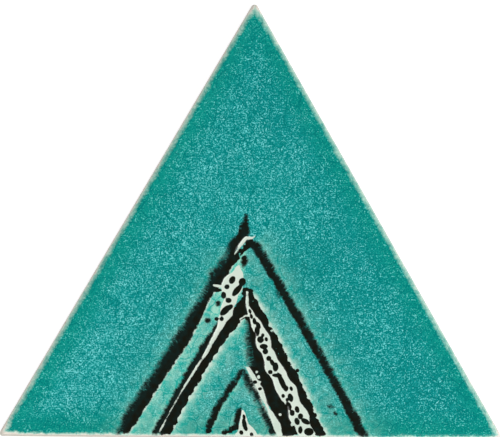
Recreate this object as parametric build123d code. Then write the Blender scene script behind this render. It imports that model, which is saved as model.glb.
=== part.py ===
from build123d import *

import math
import os

# Triangle tile: one fired piece of pale clay with a glazed face.
# It lies on its back with the face up. The origin is the middle of the back,
# +Z points out of the face, and +Y points at the corner opposite the base edge.

# Tile sizes, in millimetres and degrees
side = 150.0  # each edge of the back, between the sharp corners
thickness = 10.0  # from the back to the face
draft_angle = 2.5  # how far the walls lean in towards the face, for the clay to leave its mould
corner_radius = 0.9  # rounding of the three corners, seen from above
arris_reach = 1.6  # how far the rounded edge of the face runs in over the face
arris_drop = 1.2  # how far the rounded edge runs down the wall
back_bevel = 0.4  # bevel round the edge of the back

# Keying grooves, which let the bedding mortar grip the back
groove_width = 7.0
groove_depth = 1.0
groove_wall_angle = 20.0  # lean of the groove's walls
groove_corner_radius = 1.5  # rounding of the groove's corners, seen from below
rib_width = 5.0  # flat strip between two grooves
back_border = 9.5  # flat strip between the grooves and the edge of the back
shortest_groove = 12.0  # a groove shorter than this isn't cut

# Steps of the curve that the rounded edge follows
ARRIS_STEPS = 5

# Distance from the middle of the back to each edge
inradius = side / (2 * math.sqrt(3))

# The wall is straight up to here, and the rounded edge starts here
wall_height = thickness - arris_drop
wall_lean = wall_height * math.tan(math.radians(draft_angle))


def outline(inset, height):
    """The triangle with every edge moved in by inset, at a height above the back."""
    middle_to_corner = 2 * (inradius - inset)
    triangle = RegularPolygon(middle_to_corner, 3, rotation=90)
    return Pos(0, 0, height) * fillet(triangle.vertices(), corner_radius)


def walls():
    """The body up to the rounded edge: two outlines joined by straight, leaning walls."""
    return loft([outline(0, 0), outline(wall_lean, wall_height)], ruled=True)


def rounded_edge():
    """The top of the body, whose edge follows a quarter of an ellipse from the wall to the face."""
    sections = []
    for step in range(ARRIS_STEPS + 1):
        turn = math.pi / 2 * step / ARRIS_STEPS
        inset = wall_lean + arris_reach * (1 - math.cos(turn))
        height = wall_height + arris_drop * math.sin(turn)
        sections.append(outline(inset, height))
    return loft(sections)


def groove(low, high):
    """A groove across the back between two distances from the middle, with ends along the tile's edges."""
    border_corner = 2 * (inradius - back_border)
    half_width_low = (border_corner - low) * math.tan(math.radians(30))
    half_width_high = (border_corner - high) * math.tan(math.radians(30))
    plan = Polygon(
        (-half_width_low, low),
        (half_width_low, low),
        (half_width_high, high),
        (-half_width_high, high),
        align=None,
    )
    plan = fillet(plan.vertices(), groove_corner_radius)
    return extrude(plan, amount=groove_depth, taper=groove_wall_angle)


def keying_grooves():
    """Grooves side by side, from the border at the base edge to the far corner, with a rib across the middle."""
    lowest = back_border - inradius
    highest = 2 * (inradius - back_border) - shortest_groove / 2 * math.sqrt(3)
    pitch = groove_width + rib_width
    first = math.ceil((lowest - rib_width / 2) / pitch)
    low = first * pitch + rib_width / 2
    grooves = []
    while low + groove_width <= highest:
        grooves.append(groove(low, low + groove_width))
        low += pitch
    return grooves


def triangle_tile():
    """The whole tile: walls and rounded edge, bevelled round the back and grooved."""
    body = walls() + rounded_edge()
    body = chamfer(body.edges().group_by(Axis.Z)[0], back_bevel)
    return body - keying_grooves()


os.makedirs("parts", exist_ok=True)
export_step(triangle_tile(), "parts/triangle_tile.step")
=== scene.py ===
"""Dresses the triangle tile: pale fired clay with a turquoise crackle glaze and brushed chevrons.

The tile is one closed mesh that stands for the CAD node. Lengths in this script are millimetres in
the tile's own frame, and MM turns them to metres when a mesh or a lamp is made.
"""

import math
from typing import NamedTuple

import bpy
import numpy as np
from mathutils import Matrix, Vector
from mathutils.geometry import delaunay_2d_cdt


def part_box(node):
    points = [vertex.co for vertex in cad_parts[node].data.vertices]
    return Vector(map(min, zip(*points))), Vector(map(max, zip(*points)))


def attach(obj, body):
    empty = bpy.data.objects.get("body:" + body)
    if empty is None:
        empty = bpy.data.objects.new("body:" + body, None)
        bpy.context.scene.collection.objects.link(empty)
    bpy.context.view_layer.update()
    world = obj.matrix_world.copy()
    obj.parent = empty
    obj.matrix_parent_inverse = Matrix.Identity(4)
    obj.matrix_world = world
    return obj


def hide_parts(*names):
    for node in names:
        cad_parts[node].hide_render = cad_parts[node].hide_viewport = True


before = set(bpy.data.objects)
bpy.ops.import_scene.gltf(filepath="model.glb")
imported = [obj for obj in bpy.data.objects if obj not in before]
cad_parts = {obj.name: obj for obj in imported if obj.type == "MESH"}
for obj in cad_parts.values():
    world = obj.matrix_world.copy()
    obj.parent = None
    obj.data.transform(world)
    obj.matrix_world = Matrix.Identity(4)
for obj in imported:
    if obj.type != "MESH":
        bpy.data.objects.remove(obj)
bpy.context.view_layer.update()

MM = 0.001
NODE = "triangle_tile"

# Tile sizes, from the frame
low, high = (np.array(corner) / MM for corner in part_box(NODE))
THICKNESS = high[2] - low[2]
INRADIUS = -low[1]  # from the middle to each edge, where the tile is widest

# Tile sizes that the frame doesn't give
CORNER_RADIUS = 0.9
WALL_LEAN = math.tan(math.radians(2.5))  # how far the wall leans in for each mm of height
ARRIS_REACH = 1.6  # how far the rounded edge runs in over the face
ARRIS_DROP = 1.2  # how far it runs down the wall
BACK_BEVEL = 0.4
GROOVE_WIDTH = 7.0
RIB_WIDTH = 5.0
GROOVE_BORDER = 9.5  # flat strip between the grooves and the edge
GROOVE_CORNER = 1.5
SHORTEST_GROOVE = 12.0
# Lip, wall and floor of a groove: how far in from its rim, and how deep
GROOVE_PROFILE = ((0.0, 0.0), (0.06, 0.03), (0.13, 0.14), (0.36, 0.84), (0.46, 0.96), (0.62, 1.0))
WALL_TOP = THICKNESS - ARRIS_DROP
WALL_INSET = (WALL_TOP - BACK_BEVEL) * WALL_LEAN

# Mesh steps
FACE_STEPS = 366  # lattice steps along each side of the face
COARSER = 3  # face steps to each step lower down the wall
ARRIS_STEPS = 8
WALL_STEPS = 14
GROOVE_ARC_STEPS = 8

# Relief of the face
RELIEF_ROOM = 0.2  # the bare glaze lies this far below the rounded edge, on average
WAVE_HEIGHT = 0.05  # slow swell of the glaze, up and down
BLACK_HEIGHT = 0.08  # the black glaze stands proud of the turquoise
BLOT_HEIGHT = 0.03
CREAM_DEPTH = 0.07  # the cream channels are where the turquoise has drawn back
WALL_WAVE = 0.07  # hand-made waviness of the walls

# Where the glaze ends, for the base, right and left edge: width of the bare clay, and of the pale glaze.
# The pale glaze is narrowest at the base edge, which paints shade on the base side.
BARE_STRIPS = np.array([0.55, 0.3, 0.45])
PALE_RIMS = np.array([0.8, 1.8, 1.5])
BARE_CORNER = 0.7  # how much wider the bare clay is at the corners
LINES_END = 0.8  # the black lines stop this far above the base edge

# Edges of the brushwork
SHARP = 0.05  # how far the black feathers out at a sharp edge
SUNKEN = 0.6  # how far it does round a smudge
MEANDER = 0.35  # how far a wide channel wanders to each side
FAR_OUTSIDE = -50.0  # the depth of a point that is nowhere near a line or a drop

# Fields of the brushwork: depths inside an area in mm, and what is told about the points besides
DEPTHS = ("black", "cream", "blot")
SHADES = ("feather", "milk", "mint", "along", "across")


class Stroke(NamedTuple):
    """A brush line of black glaze: points (x, height above the base edge, width) from the base up.

    left and right are how far the black feathers out on that side of the picture, in mm.
    A halo is the paler glaze beside the line: reach of its milk and of its mint in mm, and share of mint.
    """

    points: tuple
    left: float = SHARP
    right: float = SHARP
    left_halo: tuple = (0.0, 1.0, 0.0)
    right_halo: tuple = (0.0, 1.0, 0.0)


STROKES = (
    # Outer chevron: left leg, spike, right leg, and the thin line under the slit
    Stroke(
        ((-38, 1, 3.2), (-36, 5, 4.3), (-26.5, 20, 4.3), (-20, 30, 4.5), (-13, 43, 3), (-10, 48, 5.2),
         (-7, 52.5, 3.5), (-6, 56.5, 2.6)),
        left=1.4, right=0.25, left_halo=(0.0, 2.5, 0.4), right_halo=(0.3, 4.0, 1.0),
    ),
    Stroke(((-6, 56.5, 2.6), (-3, 59.5, 3.6), (-2.5, 62, 3), (-2, 65.5, 1.2)), left=0.7, right=0.5),
    Stroke(
        ((33, 1, 3), (25.5, 15, 2.7), (14, 35, 2.8), (5, 50, 2.8), (1, 56.5, 2.8), (-1, 58, 1.6)),
        left=0.5, right=0.8, left_halo=(0.0, 2.5, 0.2), right_halo=(0.0, 2.5, 0.5),
    ),
    Stroke(((-6.5, 51.5, 1.9), (-3.5, 55, 1.7), (-0.5, 58, 1.9))),
    # Middle chevron: left leg and its thin top, then the right leg's outer and inner line
    Stroke(
        ((-26.5, 1, 5), (-22, 10, 4.7), (-13.5, 25, 5.3), (-8, 33, 4.8)),
        left=0.8, left_halo=(0.0, 3.5, 0.9), right_halo=(1.2, 3.5, 1.0),
    ),
    Stroke(
        ((-8, 32.5, 4.6), (-4, 37, 4.6), (-2.5, 40.5, 2.4), (-1.5, 44.5, 0.6)), right_halo=(0.9, 4.5, 1.0),
    ),
    Stroke(
        ((21, 1, 2.2), (11.5, 20, 2.2), (6, 30, 2.3), (0.5, 40, 2), (-1.5, 44.5, 0.6)),
        right_halo=(1.1, 1.9, 1.0),
    ),
    Stroke(((12, 1, 5), (7.5, 10, 5), (1.5, 20.5, 4.8))),
    Stroke(
        ((1.5, 20.5, 4.4), (0.5, 25, 4.2), (-0.5, 30, 3), (-1, 34, 2)),
        left=2.0, left_halo=(0.0, 2.0, 0.6),
    ),
    # Inner chevron
    Stroke(
        ((-13, 2, 2), (-9.5, 10, 2.1), (-6, 15, 2), (-3, 19.5, 1.9)),
        left=0.7, right=0.4, left_halo=(0.0, 1.5, 0.3), right_halo=(0.0, 1.6, 0.9),
    ),
    Stroke(
        ((6.5, 2, 2), (2, 11, 1.8), (-1, 16.5, 2.4), (-2.5, 19.5, 1.6)),
        left=1.5, right=0.8, left_halo=(0.0, 1.4, 0.6), right_halo=(0.6, 1.5, 1.0),
    ),
    # Innermost chevron, whose right leg is only blots
    Stroke(
        ((-8, 1.5, 1.6), (-4.5, 3, 1.8), (-3.5, 8, 2.2)), left=0.5, right=0.1, left_halo=(0.0, 1.4, 0.7),
    ),
)


class Channel(NamedTuple):
    """A cream line that the turquoise has drawn back from, as points like a stroke's.

    backing is how far black reaches past its sides, in mm.
    """

    points: tuple
    backing: float = 0.0


LEFT_CHANNEL = Channel(
    ((-27, 1.5, 0.6), (-24, 7.5, 0.3), (-19.5, 15.5, 0.5), (-13.5, 25, 0.9), (-9.5, 32.5, 1.6)),
    backing=0.5,
)
MOUTH = Channel(((-9.5, 32.5, 1.8), (-7, 39, 3.8), (-6, 44.5, 6.2), (-4.5, 49, 3), (-4, 51, 0.6)))
TONGUE = Channel(((-11.5, 45, 0.5), (-9, 44.5, 0.9)))
BRIDGE = Channel(((-3.5, 35, 0.4), (-2, 36, 0.5), (0, 36, 0.7)))
RIGHT_CHANNEL = Channel(
    ((16.5, 1, 5), (12.5, 10, 5), (7, 20.5, 4.4), (4.5, 25, 4.3), (3, 30, 3.6), (-1.5, 39, 0.9),
     (-1.5, 43, 0.6)),
    backing=1.2,
)
INNER_CHANNEL = Channel(
    ((8.5, 1, 1.6), (7, 5, 2), (5, 8.5, 0.8), (2.5, 14.5, 1.6), (-1, 20.5, 1), (-2, 21, 0.4)),
)
INNERMOST_CHANNEL = Channel(((-1.5, 0.5, 7), (-2, 4.5, 2.4), (-2.5, 8, 0.6)))
SLIT = Channel(((-5.5, 54, 0.3), (-3.5, 57, 1.1), (-2, 59, 1), (0, 59, 0.7), (0.5, 59.5, 0.6)))
CHANNELS = (LEFT_CHANNEL, MOUTH, TONGUE, BRIDGE, RIGHT_CHANNEL, INNER_CHANNEL, INNERMOST_CHANNEL, SLIT)

# Pools of milky mint glaze, as points like a stroke's: round the mouth, and weaker inside the chevrons
MOUTH_POOL = ((-10.5, 36, 4), (-7, 43, 7.5), (-4.5, 50, 4.5), (-2, 57, 0.8))
INSIDE_POOL = ((-2, 0, 66), (-2, 56, 2))


class Blot(NamedTuple):
    """A drop of black glaze: its place, half width, half height, and lean to the right in degrees."""

    x: float
    height: float
    half_width: float
    half_height: float
    lean: float = 0.0


# The largest drops, given one by one; small ones are scattered between them
LARGE_BLOTS = (
    # In the mouth of the left channel
    Blot(-6, 46.5, 0.8, 1.1, 25),
    Blot(-3, 46, 1.0, 1.1, 20),
    Blot(-4.5, 43.5, 0.8, 1.9, 40),
    Blot(-7.5, 44.5, 0.7, 0.7),
    Blot(-8.5, 42, 0.7, 0.9),
    Blot(-7, 40.5, 0.8, 0.7),
    Blot(-6.5, 38.5, 0.6, 0.9, 40),
    Blot(-8, 37.5, 0.9, 1.9, 45),
    Blot(-9, 35, 0.6, 0.6),
    Blot(-10.5, 35, 0.6, 0.5),
    Blot(-10.5, 43.5, 1.2, 0.5),
    Blot(-2.5, 53, 0.7, 0.7),
    # In the right channel
    Blot(1.5, 31.5, 0.7, 1.3),
    Blot(2.5, 29, 0.9, 0.9),
    Blot(3.5, 27, 1.1, 0.7),
    Blot(4, 25.5, 0.8, 0.8),
    Blot(5, 23.5, 0.7, 0.7),
    Blot(7, 21, 0.8, 1.2),
    Blot(5.5, 19.5, 0.6, 0.6),
    Blot(7.5, 18.5, 1.3, 0.5),
    Blot(9, 16.5, 0.7, 2.8, -25),
    Blot(11.5, 12, 0.7, 1.2, -20),
    Blot(11, 9.5, 0.7, 1.2, -20),
    Blot(13.5, 8.5, 0.6, 0.9, -20),
    Blot(12, 7.5, 0.7, 0.8),
    Blot(14.5, 6.5, 0.7, 0.8),
    Blot(13.5, 5, 0.7, 1.0, -20),
    Blot(16, 5, 1.3, 0.7, 30),
    Blot(14.5, 2.5, 0.6, 1.0),
    Blot(17, 2, 1.3, 1.1),
    Blot(13.5, 20, 0.5, 0.5),
    # In the inner and the innermost channel, and at the feet of the inner chevron
    Blot(1, 16.5, 0.6, 0.5),
    Blot(2.5, 14.5, 0.5, 0.4),
    Blot(-2, 4, 0.6, 1.7, -10),
    Blot(-12.5, 2, 0.8, 0.7),
    Blot(6, 2, 0.8, 0.7),
)
# Drops sunk into the glaze, so soft and greenish
SMUDGES = (
    Blot(-2.5, 52, 0.9, 1.6, 10),
    Blot(-10, 39.5, 0.8, 0.8),
    Blot(-13, 34.5, 0.8, 0.7),
    Blot(23.5, 9.5, 0.9, 0.5, 15),
    Blot(25, 7.5, 0.6, 0.4, 15),
    Blot(7.5, 42.5, 0.9, 1.2, -20),
)
# Specks of cream in the black between the right and the inner channel
SPECKS = (
    Blot(1.5, 19.5, 0.4, 0.4),
    Blot(2, 18, 0.4, 0.5),
    Blot(2.5, 16.5, 0.4, 0.4),
    Blot(8.5, 7, 0.4, 0.4),
    Blot(12, 4, 0.4, 0.5),
)


def waves(x, y, length, seed, count=14):
    """A soft random swell between about -1 and 1: a sum of sine waves of about one length, seeded."""
    rng = np.random.default_rng(seed)
    turn = rng.uniform(0, 2 * np.pi, count)
    phase = rng.uniform(0, 2 * np.pi, count)
    pace = 2 * np.pi / (length * rng.uniform(0.7, 1.5, count))
    swell = np.zeros_like(x)
    for k in range(count):
        swell += np.sin(pace[k] * (np.cos(turn[k]) * x + np.sin(turn[k]) * y) + phase[k])
    return swell / math.sqrt(count)


def smooth_step(value, start, end):
    """0 before start, 1 after end, and an even S curve between them. The end may be the lower one."""
    t = np.clip((value - start) / (end - start), 0, 1)
    return t * t * (3 - 2 * t)


# Mesh of the tile

class Shell:
    """A mesh under construction: points, their places on the flat map, and triangles, all in mm."""

    def __init__(self):
        self.points, self.places, self.triangles = [], [], []
        self.count = 0

    def ring(self, plan, height, places):
        """Adds points at a height and returns their numbers."""
        self.points.append(np.column_stack([plan, np.broadcast_to(height, len(plan))]))
        self.places.append(places)
        self.count += len(plan)
        return np.arange(self.count - len(plan), self.count)


def lattice(steps):
    """A triangle cut into rows of small triangles.

    Row i has steps - i + 1 points, and every point is given as its shares of the three corners.
    Returns the shares, the triangles, and the rim's points, counterclockwise from the left corner.
    """
    rows = np.arange(steps + 1)
    first = rows * (steps + 1) - rows * (rows - 1) // 2
    i = np.repeat(rows, steps + 1 - rows)
    j = np.arange(len(i)) - first[i]
    shares = np.column_stack([steps - i - j, j, i]) / steps
    here = first[i] + j
    above = np.append(first, 0)[i + 1] + j
    up = np.column_stack([here, here + 1, above])[i + j < steps]
    down = np.column_stack([here + 1, above + 1, above])[i + j < steps - 1]
    side = np.arange(steps)
    rim = np.concatenate([first[0] + side, first[side] + steps - side, first[steps - side]])
    return shares, np.vstack([up, down]), rim


def sharp_triangle(shares):
    """Places of the shares on the tile's widest outline, with sharp corners."""
    turns = np.radians([210, 330, 90])
    corners = 2 * INRADIUS * np.column_stack([np.cos(turns), np.sin(turns)])
    return shares @ corners


def room_to_edges(points):
    """Distance inwards from the base, right and left edge of the widest outline, a column each."""
    turns = np.radians([270, 30, 150])
    return INRADIUS - points[:, :2] @ np.vstack([np.cos(turns), np.sin(turns)])


def drawn_together(points):
    """The points moved towards the middle of the base edge, where the chevrons need a finer mesh.

    Each point keeps its direction and loses a share of its distance that fades like a bell curve.
    Points near the two other edges stay.
    """
    pull, spread, clear = 0.4, 31.0, 14.0
    towards = np.array([0, -INRADIUS]) - points
    room = room_to_edges(points)[:, 1:].min(axis=1)
    share = pull * np.exp(-(towards**2).sum(axis=1) / (2 * spread**2)) * smooth_step(room, 0, clear)
    return points + towards * share[:, None]


def inset_and_rounded(points, inset):
    """The sharp triangle's points moved in by an inset, or out by a negative one, with rounded corners.

    Beyond the centre of a corner's arc, each point is drawn back along its ray from that centre
    until the sharp edge lies on the arc.
    """
    inset = np.broadcast_to(inset, len(points))
    points = points * (1 - inset / INRADIUS)[:, None]
    for turn in np.radians([90, 210, 330]):
        ahead = np.array([math.cos(turn), math.sin(turn)])
        beside = np.array([-math.sin(turn), math.cos(turn)])
        centre = (2 * (INRADIUS - inset) - 2 * CORNER_RADIUS)[:, None] * ahead
        ray = points - centre
        angle = np.abs(np.arctan2(ray @ beside, ray @ ahead))
        shrink = np.where(angle < math.pi / 3, np.cos(math.pi / 3 - angle), 1)
        points = centre + ray * shrink[:, None]
    return points


def strip(upper, lower):
    """Triangles between two closed rings of as many points, the upper one above the lower one."""
    upper_next, lower_next = np.roll(upper, -1), np.roll(lower, -1)
    first = np.column_stack([upper, lower, lower_next])
    second = np.column_stack([upper, lower_next, upper_next])
    return np.vstack([first, second])


def coarser_strip(upper, lower):
    """Triangles between a fine closed ring and one with a third as many points below it."""
    a, b, c = upper[0::COARSER], upper[1::COARSER], upper[2::COARSER]
    d = np.roll(a, -1)
    p, q = lower, np.roll(lower, -1)
    return np.vstack([np.column_stack(t) for t in ((a, p, b), (b, p, c), (c, p, q), (c, q, d))])


def add_face(shell):
    """The face and its rounded edge, a quarter of an ellipse down to the wall.

    Returns the number of face points, the lowest ring, its sharp outline and its place on the flat map.
    """
    shares, face, rim = lattice(FACE_STEPS)
    sharp = drawn_together(sharp_triangle(shares))
    flat_inset = WALL_INSET + ARRIS_REACH
    plan = inset_and_rounded(sharp, flat_inset)
    shell.ring(plan, THICKNESS, plan)
    shell.triangles.append(face)
    ring, outline = rim, sharp[rim]
    turns = np.linspace(math.pi / 2, 0, ARRIS_STEPS + 1)
    reach, drop = ARRIS_REACH * np.cos(turns), ARRIS_DROP * np.sin(turns)
    for k in range(1, ARRIS_STEPS + 1):
        plan = inset_and_rounded(outline, WALL_INSET + ARRIS_REACH - reach[k])
        flat_inset -= math.hypot(reach[k] - reach[k - 1], drop[k] - drop[k - 1])
        lower = shell.ring(plan, WALL_TOP + drop[k], inset_and_rounded(outline, flat_inset))
        shell.triangles.append(strip(ring, lower))
        ring = lower
    return len(sharp), ring, outline, flat_inset


def add_walls(shell, ring, outline, flat_inset):
    """The walls, a little wavy and with fewer points round them than the face, and the back's bevel."""
    outline = outline[::COARSER]
    step_down = (WALL_TOP - BACK_BEVEL) / WALL_STEPS
    for step in range(1, WALL_STEPS + 1):
        height = WALL_TOP - step * step_down
        wave = waves(outline[:, 0] + 3 * height, outline[:, 1] - 2 * height, 9.0, seed=5)
        hollow = WALL_WAVE * math.sin(math.pi * step / WALL_STEPS) * (0.5 + 0.5 * np.clip(wave, -1, 1))
        plan = inset_and_rounded(outline, (height - BACK_BEVEL) * WALL_LEAN + hollow)
        flat_inset -= step_down
        lower = shell.ring(plan, height, inset_and_rounded(outline, flat_inset))
        shell.triangles.append(coarser_strip(ring, lower) if step == 1 else strip(ring, lower))
        ring = lower
    plan = inset_and_rounded(outline, BACK_BEVEL)
    flat_inset -= BACK_BEVEL * math.sqrt(2)
    lower = shell.ring(plan, 0, inset_and_rounded(outline, flat_inset))
    shell.triangles.append(strip(ring, lower))
    return lower, plan


def groove_loops(bottom, top):
    """Closed loops down into one groove: a trapezoid with rounded corners, for each step of the profile.

    The corners' arcs keep their centres, and their radius shrinks as the loop moves in.
    """
    far = 2 * (INRADIUS - GROOVE_BORDER)
    slope = math.tan(math.radians(30))
    # Loops are counterclockwise: the corners at the bottom left, bottom right, top right and top left
    arcs = ((-1, bottom, 150, 270), (1, bottom, 270, 390), (1, top, 30, 90), (-1, top, 90, 150))
    centres, turns = [], []
    for side, level, start, end in arcs:
        height = level + (GROOVE_CORNER if level == bottom else -GROOVE_CORNER)
        half = (far - height) * slope - GROOVE_CORNER / math.cos(math.radians(30))
        centres.append(np.tile([side * half, height], (GROOVE_ARC_STEPS, 1)))
        turns.append(np.radians(np.linspace(start, end, GROOVE_ARC_STEPS)))
    centres, turns = np.vstack(centres), np.concatenate(turns)
    arrow = np.column_stack([np.cos(turns), np.sin(turns)])
    return [(centres + arrow * (GROOVE_CORNER - inset), depth) for inset, depth in GROOVE_PROFILE]


def groove_levels():
    """Bottom and top of each groove, from the border at the base edge up, with a rib across the middle."""
    bottoms = np.arange(-20, 20) * (GROOVE_WIDTH + RIB_WIDTH) + RIB_WIDTH / 2
    highest = 2 * (INRADIUS - GROOVE_BORDER) - SHORTEST_GROOVE / 2 * math.sqrt(3)
    kept = (bottoms >= GROOVE_BORDER - INRADIUS) & (bottoms + GROOVE_WIDTH <= highest)
    return [(bottom, bottom + GROOVE_WIDTH) for bottom in bottoms[kept]]


def flat_fill(loops):
    """Triangles of a flat region inside the first loop and outside the others, all arrays of (x, y)."""
    points = np.vstack(loops)
    starts = np.cumsum([0] + [len(loop) for loop in loops])
    edges = []
    for start, end in zip(starts[:-1], starts[1:]):
        ring = np.arange(start, end)
        edges += np.column_stack([ring, np.roll(ring, -1)]).tolist()
    made = delaunay_2d_cdt([Vector(p) for p in points], edges, [], 1, 1e-6)
    origin = np.array([names[0] for names in made[3]])
    triangles = origin[np.array(made[2])]
    # A triangle with all its points on one of the inner loops fills that hole, so it is left out
    loop_of = np.repeat(np.arange(len(loops)), [len(loop) for loop in loops])
    owner = loop_of[triangles]
    in_hole = (owner[:, 0] > 0) & (owner == owner[:, :1]).all(axis=1)
    return triangles[~in_hole]


def add_back(shell, ring, outline):
    """The flat back with its grooves. Seen from below, a groove's rim is the outer ring of its walls."""
    loops, numbers = [outline], [ring]
    for bottom, top in groove_levels():
        steps = groove_loops(bottom, top)
        rings = [shell.ring(plan, depth, plan) for plan, depth in steps]
        shell.triangles += [strip(inner, outer) for outer, inner in zip(rings[:-1], rings[1:])]
        rim, deepest = steps[0][0], steps[-1][0]
        shell.triangles.append(rings[-1][flat_fill([deepest])][:, ::-1])
        loops.append(rim)
        numbers.append(rings[0])
    shell.triangles.append(np.concatenate(numbers)[flat_fill(loops)][:, ::-1])


def map_places(points, places, triangles, front):
    """Places of the triangles' corners on a square map of side 1.

    The face and the walls, laid out flat round it, fill a triangle that points up from the map's foot.
    The back, seen from below, is a smaller triangle that points down in the top left corner.
    """
    margin, back_width = 0.01, 0.54
    start, size = places.min(axis=0), np.ptp(places, axis=0)
    above = (places - start) * (1 - 2 * margin) / size[0] + margin
    start, size = points[:, :2].min(axis=0), np.ptp(points[:, :2], axis=0)
    below = (points[:, :2] - start) * back_width / size[0]
    below = np.column_stack([below[:, 0] + margin, 1 - margin - below[:, 1]])
    return np.concatenate([above[triangles[:front]], below[triangles[front:]]])


# Brushwork on the face

def along_line(x, y, line):
    """Where each point lies beside a line of straight runs.

    Returns its distance from the line (plus on the left of the picture), how far it is from the line's
    end, and the line's width there. Each run is tried in turn, and the nearest one is kept.
    """
    line = np.array(line, dtype=float)
    best = np.full(len(x), np.inf)
    across, along, width = np.zeros_like(x), np.zeros_like(x), np.zeros_like(x)
    passed = 0.0
    for (x0, y0, w0), (x1, y1, w1) in zip(line[:-1], line[1:]):
        run = math.hypot(x1 - x0, y1 - y0)
        dx, dy = (x1 - x0) / run, (y1 - y0) / run
        reach = np.clip((x - x0) * dx + (y - y0) * dy, 0, run)
        away = np.hypot(x - x0 - reach * dx, y - y0 - reach * dy)
        side = np.where(dx * (y - y0) - dy * (x - x0) >= 0, 1, -1)
        nearer = away < best
        best = np.where(nearer, away, best)
        across = np.where(nearer, away * side, across)
        along = np.where(nearer, passed + reach, along)
        width = np.where(nearer, w0 + (w1 - w0) * reach / run, width)
        passed += run
    return across, passed - along, width


def depth_in_band(across, width):
    """How deep a point lies inside a band of that width, as a parabola that crosses zero at its edge."""
    half = np.maximum(width / 2, 0.1)
    return np.maximum((half**2 - across**2) / (2 * half), FAR_OUTSIDE)


def depth_in_blot(x, height, blot):
    """How deep a point lies inside a leaning ellipse, as a paraboloid that crosses zero at its edge."""
    turn = math.radians(blot.lean)
    dx, dy = x - blot.x, height - blot.height
    beside = (dx * math.cos(turn) - dy * math.sin(turn)) / blot.half_width
    above = (dx * math.sin(turn) + dy * math.cos(turn)) / blot.half_height
    smaller = min(blot.half_width, blot.half_height)
    return np.maximum(smaller / 2 * (1 - beside**2 - above**2), FAR_OUTSIDE)


def beads(channel, pace, seed, taken):
    """Small drops strung along a channel at a random pace and a random distance from its middle.

    A drop is stretched along the channel, and left out where it would touch one that is already there.
    """
    smallest, largest, too_small, too_close = 0.35, 0.6, 0.34, 0.15
    rng = np.random.default_rng(seed)
    strung = []
    line = np.array(channel.points, dtype=float)
    for (x0, y0, w0), (x1, y1, w1) in zip(line[:-1], line[1:]):
        run = math.hypot(x1 - x0, y1 - y0)
        dx, dy = (x1 - x0) / run, (y1 - y0) / run
        for reach in np.arange(rng.uniform(0, pace), run, pace):
            width = w0 + (w1 - w0) * reach / run
            radius = min(rng.uniform(smallest, largest), width / 4)
            aside = rng.uniform(-1, 1) * max(width / 2 - radius - 0.2, 0)
            x, height = x0 + dx * reach + dy * aside, y0 + dy * reach - dx * aside
            lean = math.degrees(math.atan2(dx, dy)) + rng.uniform(-20, 20)
            drop = Blot(x, height, radius, radius * rng.uniform(1.0, 1.7), lean)
            others = (*taken, *strung)
            gap = [math.hypot(x - b.x, height - b.height) - b.half_width - radius for b in others]
            if radius > too_small and height > LINES_END and min(gap, default=1) > too_close:
                strung.append(drop)
    return strung


def all_blots():
    """The large drops, and beads in the right channel and the innermost channel."""
    blots = list(LARGE_BLOTS)
    for channel, pace, seed in ((RIGHT_CHANNEL, 0.8, 9), (INNERMOST_CHANNEL, 1.0, 2)):
        blots += beads(channel, pace, seed, blots)
    return blots


def add_strokes(field, x, height):
    """Puts the black lines and their halos into the fields. A halo fades out near the top of its line."""
    shift = 40  # moves the strands on from one line to the next, so that no two lines fray alike
    halo_end = 3.0
    for number, stroke in enumerate(STROKES):
        across, to_end, width = along_line(x, height, stroke.points)
        depth = depth_in_band(across, width)
        nearer = depth > field["black"]
        feather = stroke.right + (stroke.left - stroke.right) * smooth_step(across, -0.4, 0.4)
        field["black"] = np.where(nearer, depth, field["black"])
        field["feather"] = np.where(nearer, feather, field["feather"])
        field["along"] = np.where(nearer, to_end + shift * number, field["along"])
        field["across"] = np.where(nearer, across, field["across"])
        outside = np.maximum(np.abs(across) - width / 2, 0)
        beside = smooth_step(to_end, 0.0, halo_end)
        for sign, (milk, mint, share) in ((1, stroke.left_halo), (-1, stroke.right_halo)):
            here = beside * smooth_step(across * sign, 0, 0.3)
            field["mint"] = np.maximum(field["mint"], here * share * np.exp(-outside / mint))
            if milk:
                field["milk"] = np.maximum(field["milk"], here * np.exp(-outside / milk))


def add_channels(field, x, height):
    """Puts the cream channels, the black behind them and the mint pools into the fields."""
    wander = MEANDER * waves(x, height, 5.0, seed=23)
    for channel in CHANNELS:
        across, _, width = along_line(x, height, channel.points)
        # Only a wide channel meanders
        across = across + wander * smooth_step(width, 1.0, 3.0)
        field["cream"] = np.maximum(field["cream"], depth_in_band(across, width))
        if channel.backing:
            behind = depth_in_band(across, width + 2 * channel.backing)
            field["feather"] = np.where(behind > field["black"], SHARP, field["feather"])
            field["black"] = np.maximum(field["black"], behind)
    for pool, share in ((MOUTH_POOL, 1.0), (INSIDE_POOL, 0.25)):
        across, _, width = along_line(x, height, pool)
        inside = smooth_step(depth_in_band(across, width), -0.8, 0.6)
        field["mint"] = np.maximum(field["mint"], share * inside)


def add_drops(field, x, height):
    """Puts the smudges, the drops and the specks into the fields."""
    for smudge in SMUDGES:
        depth = depth_in_blot(x, height, smudge)
        nearer = depth > field["black"]
        field["black"] = np.where(nearer, depth, field["black"])
        field["feather"] = np.where(nearer, SUNKEN, field["feather"])
    for blot in all_blots():
        field["blot"] = np.maximum(field["blot"], depth_in_blot(x, height, blot))
    for speck in SPECKS:
        field["cream"] = np.maximum(field["cream"], depth_in_blot(x, height, speck))


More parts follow.
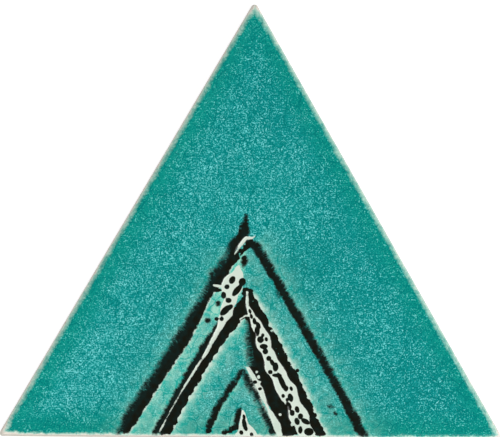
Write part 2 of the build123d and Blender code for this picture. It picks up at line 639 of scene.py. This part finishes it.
def brushwork(x, height):
    """The fields that the face's material and relief are made from, for every point of the face.

    black, cream and blot are depths inside those areas in mm, and feather is how far the black's edge
    frays there. milk and mint run from 0 to 1, and along and across say where on the nearest line it is.
    """
    field = dict.fromkeys(DEPTHS, np.full(len(x), FAR_OUTSIDE))
    field |= dict.fromkeys(SHADES, np.zeros_like(x))
    add_strokes(field, x, height)
    add_channels(field, x, height)
    # The lines stop just short of the base edge, and the glaze below them is pale
    above_foot, from_middle = height - LINES_END, np.abs(x + 2.5)
    field["black"] = np.minimum(field["black"], 0.8 * above_foot)
    foot = smooth_step(above_foot, 0.7, -0.3) * smooth_step(from_middle, 38, 26)
    field["milk"] = np.maximum(field["milk"], foot)
    add_drops(field, x, height)
    return field


def raised(points, field, room):
    """Heights of the face's points with the relief of the brushwork, which fades out at the rounded edge.

    Each area rises or sinks in an S curve, from a little outside its edge to a little inside it.
    """
    fade_start, fade_end = 1.9, 5.0
    x, y, z = points.T
    black = smooth_step(field["black"], -0.25, 0.45)
    cream = smooth_step(field["cream"], -0.2, 0.35)
    blot = smooth_step(field["blot"], -0.12, 0.35)
    swell = WAVE_HEIGHT * (waves(x, y, 24.0, seed=11) + 0.35 * waves(x, y, 6.5, seed=12))
    drawing = BLACK_HEIGHT * black * (1 - cream) - CREAM_DEPTH * cream
    relief = swell + drawing + BLOT_HEIGHT * blot - RELIEF_ROOM
    return np.minimum(z + relief * smooth_step(room, fade_start, fade_end), THICKNESS)


def edge_fields(points):
    """How far each point lies inside the line where the glaze ends, and how wide the pale rim is there.

    Below the wall's top the first field is minus the way down. A corner is where a second edge is near.
    """
    rooms = room_to_edges(points)
    nearest, second = rooms.argmin(axis=1), np.sort(rooms, axis=1)[:, 1]
    bare = BARE_STRIPS[nearest] + BARE_CORNER * smooth_step(second, 6.0, 1.0)
    inwards = np.where(points[:, 2] < WALL_TOP - 1e-6, points[:, 2] - WALL_TOP, rooms.min(axis=1))
    return {"edge": inwards - bare, "pale": PALE_RIMS[nearest]}


def new_mesh(points, triangles):
    """A mesh of these points in mm and triangles, smooth except at edges sharper than 35 degrees."""
    mesh = bpy.data.meshes.new("glazed_tile")
    mesh.vertices.add(len(points))
    mesh.vertices.foreach_set("co", (points * MM).astype(np.float32).ravel())
    mesh.loops.add(triangles.size)
    mesh.loops.foreach_set("vertex_index", triangles.astype(np.int32).ravel())
    mesh.polygons.add(len(triangles))
    mesh.polygons.foreach_set("loop_start", np.arange(0, triangles.size, 3, dtype=np.int32))
    mesh.update(calc_edges=True)
    mesh.polygons.foreach_set("use_smooth", np.ones(len(triangles), dtype=bool))
    mesh.set_sharp_from_angle(angle=math.radians(35))
    return mesh


def build_tile():
    """The tile's mesh object, with its relief, its flat map and the fields that its material reads."""
    shell = Shell()
    flat, ring, outline, flat_inset = add_face(shell)
    on_face = shell.count
    ring, outline = add_walls(shell, ring, outline, flat_inset)
    front = sum(len(block) for block in shell.triangles)
    add_back(shell, ring, outline)
    points, places, triangles = (np.vstack(p) for p in (shell.points, shell.places, shell.triangles))

    field = brushwork(points[:on_face, 0], points[:on_face, 1] + INRADIUS)
    on_flat = {name: values[:flat] for name, values in field.items()}
    points[:flat, 2] = raised(points[:flat], on_flat, room_to_edges(points[:flat]).min(axis=1))

    mesh = new_mesh(points, triangles)
    corners = map_places(points, places, triangles, front)
    mesh.uv_layers.new(name="OFBake").data.foreach_set("uv", corners.astype(np.float32).ravel())

    # Off the face there is no brushwork
    for name, values in field.items():
        outside = FAR_OUTSIDE if name in DEPTHS else 0.0
        field[name] = np.append(values, np.full(len(points) - on_face, outside))
    for name, values in (field | edge_fields(points)).items():
        attribute = mesh.attributes.new(name, "FLOAT", "POINT")
        attribute.data.foreach_set("value", values.astype(np.float32))

    tile = bpy.data.objects.new("glazed_tile", mesh)
    bpy.context.scene.collection.objects.link(tile)
    return tile


# Materials

def linear(code):
    """The linear colour of an sRGB hex value."""
    parts = np.array([int(code[k : k + 2], 16) for k in (1, 3, 5)]) / 255
    values = np.where(parts <= 0.04045, parts / 12.92, ((parts + 0.055) / 1.055) ** 2.4)
    return (*values.tolist(), 1.0)


def add(tree, kind, inputs, out=0, **settings):
    """Adds a node with its settings, links or sets its inputs, and returns one of its outputs, if any.

    A MapRange maps from inputs 1 and 2 to inputs 3 and 4, or to 0 and 1 where those are left out.
    """
    node = tree.nodes.new("ShaderNode" + kind)
    for name, value in settings.items():
        setattr(node, name, value)
    for key, value in inputs.items():
        if isinstance(value, bpy.types.NodeSocket):
            tree.links.new(value, node.inputs[key])
        else:
            node.inputs[key].default_value = value
    return node.outputs[out] if node.outputs else None


# Settings for a Mix of colours and for a MapRange with an S curve
COLOURS = {"out": 2, "data_type": "RGBA"}
S_CURVE = {"interpolation_type": "SMOOTHSTEP"}


def weighted_sum(tree, start, *terms):
    """A number or a socket, plus each term's socket times its weight, a number or a socket too."""
    total = start
    for socket, weight in terms:
        total = add(tree, "Math", {0: socket, 1: weight, 2: total}, operation="MULTIPLY_ADD")
    return total


def per_metre(size_mm):
    """The scale that gives a texture features of that size on Object coordinates, which are in metres."""
    return 1 / (size_mm * MM)


class Finish(NamedTuple):
    """What one glaze or the clay gives the shader: a colour, a roughness and a height in mm."""

    colour: object
    roughness: object
    height: object


def layered(tree, under, over, mask):
    """One finish over another where the mask is 1."""
    colour = add(tree, "Mix", {0: mask, 6: under.colour, 7: over.colour}, **COLOURS)
    roughness = add(tree, "Mix", {0: mask, 2: under.roughness, 3: over.roughness})
    height = add(tree, "Mix", {0: mask, 2: under.height, 3: over.height})
    return Finish(colour, roughness, height)


def crazing(tree, place, cell, offset, gate):
    """Cracks in the glaze, 0.25 mm wide: the bent edges of a random mosaic, broken up by a noise.

    cell is the mosaic's size and offset moves the pattern, in mm. gate gives the noise's values between
    which a crack fades in.
    """
    rim, core, sway = 0.2 / cell, 0.05 / cell, 0.6 * cell * MM
    place = add(tree, "Mapping", {"Vector": place, "Location": (offset * MM, 0.0, 0.0)})
    bend = add(tree, "TexNoise", {"Vector": place, "Scale": per_metre(cell)}, out="Color")
    bend = add(tree, "VectorMath", {0: bend, 1: (0.5, 0.5, 0.5)}, operation="SUBTRACT")
    bent = add(tree, "VectorMath", {0: bend, 1: (sway, sway, sway), 2: place}, operation="MULTIPLY_ADD")
    mosaic = add(tree, "TexVoronoi", {"Vector": bent, "Scale": per_metre(cell)}, out="Distance",
                 feature="DISTANCE_TO_EDGE", voronoi_dimensions="2D")
    line = add(tree, "MapRange", {0: mosaic, 1: rim, 2: core})
    broken = add(tree, "TexNoise", {"Vector": place, "Scale": per_metre(1.3 * cell), "Detail": 1.0})
    broken = add(tree, "MapRange", {0: broken, 1: gate[0], 2: gate[1]})
    return add(tree, "Math", {0: line, 1: broken}, operation="MULTIPLY")


def needles(tree, place, cell, width):
    """Short straight crystals: one in each cell of a random mosaic, turned and lit at random.

    cell and width are in mm. The cell's colour gives the turn and the strength.
    """
    mosaic = add(tree, "TexVoronoi", {"Vector": place, "Scale": per_metre(cell)}, out="Position",
                 voronoi_dimensions="2D")
    chance = add(tree, "SeparateColor", {0: mosaic.node.outputs["Color"]}).node.outputs
    turn = add(tree, "Math", {0: chance[0], 1: 2 * math.pi}, operation="MULTIPLY")
    offset = add(tree, "VectorMath", {0: place, 1: mosaic}, operation="SUBTRACT")
    turned = add(tree, "VectorRotate", {"Vector": offset, "Angle": turn}, rotation_type="Z_AXIS")
    local = add(tree, "SeparateXYZ", {0: turned}).node.outputs
    along = add(tree, "Math", {0: local[0]}, operation="ABSOLUTE")
    across = add(tree, "Math", {0: local[1]}, operation="ABSOLUTE")
    long = add(tree, "MapRange", {0: along, 1: 0.55 * cell * MM, 2: 0.25 * cell * MM})
    thin = add(tree, "MapRange", {0: across, 1: width * MM, 2: 0.4 * width * MM})
    shape = add(tree, "Math", {0: long, 1: thin}, operation="MULTIPLY")
    strength = add(tree, "MapRange", {0: chance[1], 1: 0.2, 2: 1.0})
    return add(tree, "Math", {0: shape, 1: strength}, operation="MULTIPLY")


def turquoise_crackle(tree, place, edge, mint):
    """Turquoise alkaline glaze, poured and fired until crystals grew in it and it crazed.

    Fine pale needles and specks float in a clear teal ground, denser in the middle of the face. Towards
    the edge the glaze is darker and clearer, and beside the black lines it thins to a milky mint.
    The needles are drawn about twice as wide as real ones, so that they show in the picture.
    """
    cloud = add(tree, "TexNoise", {"Vector": place, "Scale": per_metre(26), "Detail": 2.0})
    dense = add(tree, "TexNoise", {"Vector": place, "Scale": per_metre(5), "Detail": 2.0})
    mottle = add(tree, "TexNoise", {"Vector": place, "Scale": per_metre(2.2), "Detail": 3.0})
    fine = add(tree, "TexNoise", {"Vector": place, "Scale": per_metre(0.38), "Detail": 1.0})
    middle = add(tree, "MapRange", {0: edge, 1: 0.5, 2: 11.0}, **S_CURVE)

    grain = weighted_sum(tree, needles(tree, place, 1.6, 0.16), (needles(tree, place, 1.0, 0.15), 1.0),
                         (needles(tree, place, 0.65, 0.14), 1.0))
    # Needles gather in patches, and thin out towards the edge
    gather = add(tree, "MapRange", {0: dense, 1: 0.3, 2: 0.6, 3: 0.4, 4: 0.9})
    gather = weighted_sum(tree, gather, (middle, 0.5))
    grain = add(tree, "Math", {0: grain, 1: gather}, operation="MULTIPLY")
    fine = add(tree, "Math", {0: fine, 1: 0.5}, operation="SUBTRACT")
    fine = add(tree, "Math", {0: fine, 1: gather}, operation="MULTIPLY")
    # Some cracks catch the light, and others are dark
    pale_lines = crazing(tree, place, 6.0, 310.0, (0.45, 0.55))
    dark_lines = crazing(tree, place, 5.0, 740.0, (0.42, 0.52))
    # The turquoise is darker towards the right
    sideways = add(tree, "SeparateXYZ", {0: place}, out="X")
    lift = weighted_sum(tree, -0.1, (cloud, 0.3), (sideways, -2.0))
    lift = add(tree, "Math", {0: lift, 1: middle}, operation="MULTIPLY")
    light = weighted_sum(tree, lift, (mottle, 0.3), (fine, 1.5), (grain, 0.38), (pale_lines, 0.13),
                         (dark_lines, -0.3))

    deep = add(tree, "MapRange", {0: light, 1: 0.0, 2: 0.36})
    pale = add(tree, "MapRange", {0: light, 1: 0.36, 2: 1.0})
    clear = add(tree, "Mix", {0: middle, 6: linear("#0c9888"), 7: linear("#0f9491")}, **COLOURS)
    colour = add(tree, "Mix", {0: deep, 6: linear("#007672"), 7: clear}, **COLOURS)
    bright = add(tree, "Mix", {0: dense, 6: linear("#68e8e4"), 7: linear("#8cdce0")}, **COLOURS)
    colour = add(tree, "Mix", {0: pale, 6: colour, 7: bright}, **COLOURS)
    milky = weighted_sum(tree, mottle, (fine, 0.5), (pale_lines, 0.15), (dark_lines, -0.35))
    milky = add(tree, "MapRange", {0: milky, 1: 0.33, 2: 0.67})
    milky = add(tree, "Mix", {0: milky, 6: linear("#2cb4a4"), 7: linear("#9cd6c2")}, **COLOURS)
    colour = add(tree, "Mix", {0: mint, 6: colour, 7: milky}, **COLOURS)
    roughness = add(tree, "MapRange", {0: mottle, 1: 0.3, 2: 0.7, 3: 0.1, 4: 0.18})
    height = add(tree, "Math", {0: grain, 1: 0.006}, operation="MULTIPLY")
    return Finish(colour, roughness, height)


def black_glaze(tree, place, feather):
    """Manganese black glaze, trailed on thick: a warm, glassy black, greener where it feathers out."""
    tone = add(tree, "TexNoise", {"Vector": place, "Scale": per_metre(1.6), "Detail": 2.0})
    tone = weighted_sum(tree, tone, (feather, 0.25))
    tone = add(tree, "MapRange", {0: tone, 1: 0.45, 2: 0.8})
    colour = add(tree, "Mix", {0: tone, 6: linear("#14150d"), 7: linear("#101f1c")}, **COLOURS)
    roughness = add(tree, "MapRange", {0: tone, 1: 0.3, 2: 0.7, 3: 0.08, 4: 0.14})
    return Finish(colour, roughness, 0.0)


def cream_slip(tree, place):
    """Cream slip under a thin clear glaze: smooth and pale, and a little green where glaze has run."""
    tone = add(tree, "TexNoise", {"Vector": place, "Scale": per_metre(6), "Detail": 2.0})
    colour = add(tree, "Mix", {0: tone, 6: linear("#c2d8c9"), 7: linear("#dadfd3")}, **COLOURS)
    roughness = add(tree, "MapRange", {0: tone, 1: 0.3, 2: 0.7, 3: 0.2, 4: 0.28})
    return Finish(colour, roughness, 0.0)


def pale_clay(tree, place):
    """Pale buff clay, pressed and fired without glaze: chalky, finely gritty, with a few rusty specks."""
    grit = add(tree, "TexNoise", {"Vector": place, "Scale": per_metre(0.5), "Detail": 3.0,
                                  "Roughness": 0.7})
    patch = add(tree, "TexNoise", {"Vector": place, "Scale": per_metre(14), "Detail": 3.0})
    colour = add(tree, "Mix", {0: patch, 6: linear("#dad3c6"), 7: linear("#e9e4da")}, **COLOURS)
    dark = add(tree, "MapRange", {0: grit, 1: 0.3, 2: 0.6, 3: 0.35, 4: 0.0})
    colour = add(tree, "Mix", {0: dark, 6: colour, 7: linear("#b8ac9c")}, **COLOURS)
    iron = add(tree, "TexVoronoi", {"Vector": place, "Scale": per_metre(5)}, out="Distance")
    iron = add(tree, "MapRange", {0: iron, 1: 0.06, 2: 0.03, 3: 0.0, 4: 0.8})
    colour = add(tree, "Mix", {0: iron, 6: colour, 7: linear("#7a5236")}, **COLOURS)
    roughness = add(tree, "MapRange", {0: grit, 1: 0.3, 2: 0.7, 3: 0.78, 4: 0.92})
    height = add(tree, "Math", {0: grit, 1: 0.05}, operation="MULTIPLY")
    return Finish(colour, roughness, height)


def frayed(tree, field, lump, ragged, puffs):
    """Mask of the black lines, from how deep a point lies inside one.

    Lumps bend the edge, raggedness roughens it, and puffs of foam scallop it where it is sharp. Where
    the line feathers, strands across it, 0.35 mm apart and 1.6 mm long, fray the edge and soften it.
    """
    apart, length = 0.35, 1.6
    brush = add(tree, "CombineXYZ", {0: field["along"], 1: field["across"]})
    strands = add(tree, "Mapping", {"Vector": brush, "Scale": (1 / apart, 1 / length, 1.0)})
    strands = add(tree, "TexNoise", {"Vector": strands, "Scale": 1.0, "Detail": 2.0, "Roughness": 0.6})
    strands = add(tree, "Math", {0: strands, 1: 0.5}, operation="SUBTRACT")
    fray = weighted_sum(tree, 0.0, (strands, 1.6), (lump, 0.9))
    fray = add(tree, "Math", {0: fray, 1: field["feather"]}, operation="MULTIPLY")
    sharp = add(tree, "MapRange", {0: field["feather"], 1: SHARP, 2: 0.4, 3: 0.9, 4: 0.2})
    depth = weighted_sum(tree, field["black"], (fray, 1.0), (lump, 0.8), (ragged, 0.8), (puffs, sharp))
    soft = weighted_sum(tree, 0.05, (field["feather"], 0.6))
    depth = add(tree, "Math", {0: depth, 1: soft}, operation="DIVIDE")
    return add(tree, "MapRange", {0: depth, 1: -1.0, 2: 1.0}, **S_CURVE)


def uneven(tree, place):
    """What makes edges uneven: three noises of 2.2 mm lumps, a ragged one of 0.9 mm, and puffs of foam.

    All of them swing about 0. A puff is 2.2 mm wide and lowest in its middle.
    """
    lumps = add(tree, "TexNoise", {"Vector": place, "Scale": per_metre(2.2), "Detail": 2.0}, out="Color")
    lumps = add(tree, "VectorMath", {0: lumps, 1: (0.5, 0.5, 0.5)}, operation="SUBTRACT")
    lumps = add(tree, "SeparateXYZ", {0: lumps}).node.outputs
    ragged = add(tree, "TexNoise", {"Vector": place, "Scale": per_metre(0.9), "Detail": 2.0,
                                    "Roughness": 0.6})
    ragged = add(tree, "Math", {0: ragged, 1: 0.5}, operation="SUBTRACT")
    puffs = add(tree, "TexVoronoi", {"Vector": place, "Scale": per_metre(2.2)}, out="Distance",
                voronoi_dimensions="2D")
    puffs = add(tree, "Math", {0: puffs, 1: 0.4}, operation="SUBTRACT")
    return lumps, ragged, puffs


def brushed(tree, field, lumps, ragged, puffs):
    """Masks of the black lines, the cream channels, the drops, and the milky foam beside the lines."""
    black = frayed(tree, field, lumps[0], ragged, puffs)
    cream = weighted_sum(tree, field["cream"], (lumps[1], 0.6), (ragged, 0.3))
    cream = add(tree, "MapRange", {0: cream, 1: -0.07, 2: 0.07})
    blot = weighted_sum(tree, field["blot"], (lumps[2], 0.25), (ragged, 0.15))
    blot = add(tree, "MapRange", {0: blot, 1: -0.15, 2: -0.05})
    foam = weighted_sum(tree, 1.0, (puffs, -1.3), (ragged, 0.8))
    milk = add(tree, "Math", {0: field["milk"], 1: foam}, operation="MULTIPLY")
    milk = add(tree, "MapRange", {0: milk, 1: 0.1, 2: 1.1, 3: 0.0, 4: 0.8}, **S_CURVE)
    return black, cream, blot, milk


def shore(tree, field, place, ragged):
    """The glaze stops short of the tile's edge in an uneven line: its mask, and how thin it is there."""
    line = add(tree, "TexNoise", {"Vector": place, "Scale": per_metre(3), "Detail": 4.0, "Roughness": 0.7})
    line = add(tree, "Math", {0: line, 1: 0.5}, operation="SUBTRACT")
    inside = weighted_sum(tree, field["edge"], (line, 1.8))
    glazed = add(tree, "MapRange", {0: inside, 1: -0.15, 2: 0.15}, **S_CURVE)
    inside = weighted_sum(tree, inside, (ragged, 1.4))
    thin = add(tree, "MapRange", {0: inside, 1: field["pale"], 2: -0.1})
    return glazed, thin


def glazed_clay():
    """The whole tile's material: clay, then turquoise, cream and black glaze where the brush put them."""
    material = bpy.data.materials.new("glazed_clay")
    material.use_nodes = True
    tree = material.node_tree
    tree.nodes.clear()
    place = add(tree, "TexCoord", {}, out="Object")
    field = {}
    for name in (*DEPTHS, *SHADES, "edge", "pale"):
        field[name] = add(tree, "Attribute", {}, out="Fac", attribute_name=name)

    lumps, ragged, puffs = uneven(tree, place)
    black, cream, blot, milk = brushed(tree, field, lumps, ragged, puffs)
    # Where the glaze is thin it is minty, and milky where it is thinnest
    glazed, thin = shore(tree, field, place, ragged)
    thinnest = add(tree, "Math", {0: thin, 1: thin}, operation="MULTIPLY")
    mint = add(tree, "Math", {0: field["mint"], 1: thin}, operation="MAXIMUM")
    milk = add(tree, "Math", {0: milk, 1: thinnest}, operation="MAXIMUM")

    slip = cream_slip(tree, place)
    ink = black_glaze(tree, place, field["feather"])
    finish = turquoise_crackle(tree, place, field["edge"], mint)
    for over, mask in ((slip, milk), (ink, black), (slip, cream), (ink, blot)):
        finish = layered(tree, finish, over, mask)
    finish = layered(tree, pale_clay(tree, place), finish, glazed)
    normal = add(tree, "Bump", {"Height": finish.height, "Distance": MM, "Strength": 1.0})
    shader = add(tree, "BsdfPrincipled", {"Base Color": finish.colour, "Roughness": finish.roughness,
                                          "Normal": normal})
    add(tree, "OutputMaterial", {"Surface": shader})
    return material


# Studio

def floor():
    """A pale floor, white to the camera, that keeps the tile's shadow.

    It is a large triangle with a hole under the tile, which leaves the back in sight from below. The
    back reaches a hair's breadth through the floor, so that the two never lie in one plane.
    """
    times_larger, hole_inset, hair = 100, 2.0, 0.02
    grey, glow = 0.4, 0.8  # lit paper and glow together come out white
    corners = sharp_triangle(np.eye(3))
    rim = np.vstack([corners * times_larger, corners * (1 - hole_inset / INRADIUS)])
    points = np.column_stack([rim, np.full(len(rim), hair)]) * MM
    mesh = bpy.data.meshes.new("floor")
    mesh.from_pydata(points.tolist(), [], [(0, 1, 4, 3), (1, 2, 5, 4), (2, 0, 3, 5)])
    material = bpy.data.materials.new("floor")
    material.use_nodes = True
    tree = material.node_tree
    tree.nodes.clear()
    paper = add(tree, "BsdfDiffuse", {"Color": (grey, grey, grey, 1.0)})
    ray = add(tree, "LightPath", {}).node.outputs
    seen = add(tree, "Math", {0: ray["Is Camera Ray"], 1: ray["Is Glossy Ray"]}, operation="MAXIMUM")
    seen = add(tree, "Math", {0: seen, 1: ray["Is Transmission Ray"]}, operation="MAXIMUM")
    seen = add(tree, "Math", {0: seen, 1: glow}, operation="MULTIPLY")
    shine = add(tree, "Emission", {"Color": (1.0, 1.0, 1.0, 1.0), "Strength": seen})
    surface = add(tree, "AddShader", {0: paper, 1: shine})
    add(tree, "OutputMaterial", {"Surface": surface})
    mesh.materials.append(material)
    plane = bpy.data.objects.new("floor", mesh)
    bpy.context.scene.collection.objects.link(plane)


def soft_light(name, azimuth, elevation, watts):
    """A square lamp aimed at the tile's middle, with its azimuth counted from the base edge."""
    distance, size = 0.9, 1.0
    a, e = math.radians(azimuth), math.radians(elevation)
    away = Vector((math.sin(a) * math.cos(e), -math.cos(a) * math.cos(e), math.sin(e)))
    lamp = bpy.data.lights.new(name, "AREA")
    lamp.shape = "SQUARE"
    lamp.size = size
    lamp.energy = watts
    thing = bpy.data.objects.new(name, lamp)
    thing.location = away * distance
    thing.rotation_euler = (-away).to_track_quat("-Z", "Y").to_euler()
    bpy.context.scene.collection.objects.link(thing)


def studio_air():
    """Pale walls all round and a dark ceiling, so that the glaze mirrors little of it from above."""
    walls, ceiling = 0.95, 0.04
    world = bpy.data.worlds.new("studio")
    bpy.context.scene.world = world
    world.use_nodes = True
    tree = world.node_tree
    tree.nodes.clear()
    ray = add(tree, "TexCoord", {}, out="Generated")
    upward = add(tree, "SeparateXYZ", {0: ray}, out="Z")
    light = add(tree, "MapRange", {0: upward, 1: 0.05, 2: 0.85, 3: walls, 4: ceiling}, **S_CURVE)
    air = add(tree, "Background", {"Color": (1.0, 1.0, 1.0, 1.0), "Strength": light})
    add(tree, "OutputWorld", {"Surface": air})


def camera():
    """A long lens above the tile, a little to the lower left of its middle, framed like the photograph."""
    lens, sensor, roll = 400.0, 36.0, math.radians(0.5)
    view_width = 148.5 * MM  # what the picture's width shows at the face
    aim = Vector((-0.7 * MM, 21.95 * MM, 0))
    back = Vector((-0.02, -0.05, 1.0)).normalized()
    right = Vector((0, 1, 0)).cross(back).normalized()
    data = bpy.data.cameras.new("camera")
    data.lens = lens
    data.sensor_width = sensor
    thing = bpy.data.objects.new("camera", data)
    thing.location = aim + back * view_width * lens / sensor
    thing.rotation_euler = Matrix((right, back.cross(right), back)).transposed().to_euler()
    thing.rotation_euler.rotate_axis("Z", roll)
    bpy.context.scene.collection.objects.link(thing)
    bpy.context.scene.camera = thing


tile = build_tile()
tile.data.materials.append(glazed_clay())
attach(tile, "root")
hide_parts(NODE)

floor()
studio_air()
soft_light("left_light", -70, 45, 3.8)
soft_light("right_light", 70, 45, 9.6)
camera()
bpy.context.scene.view_settings.view_transform = "Standard"
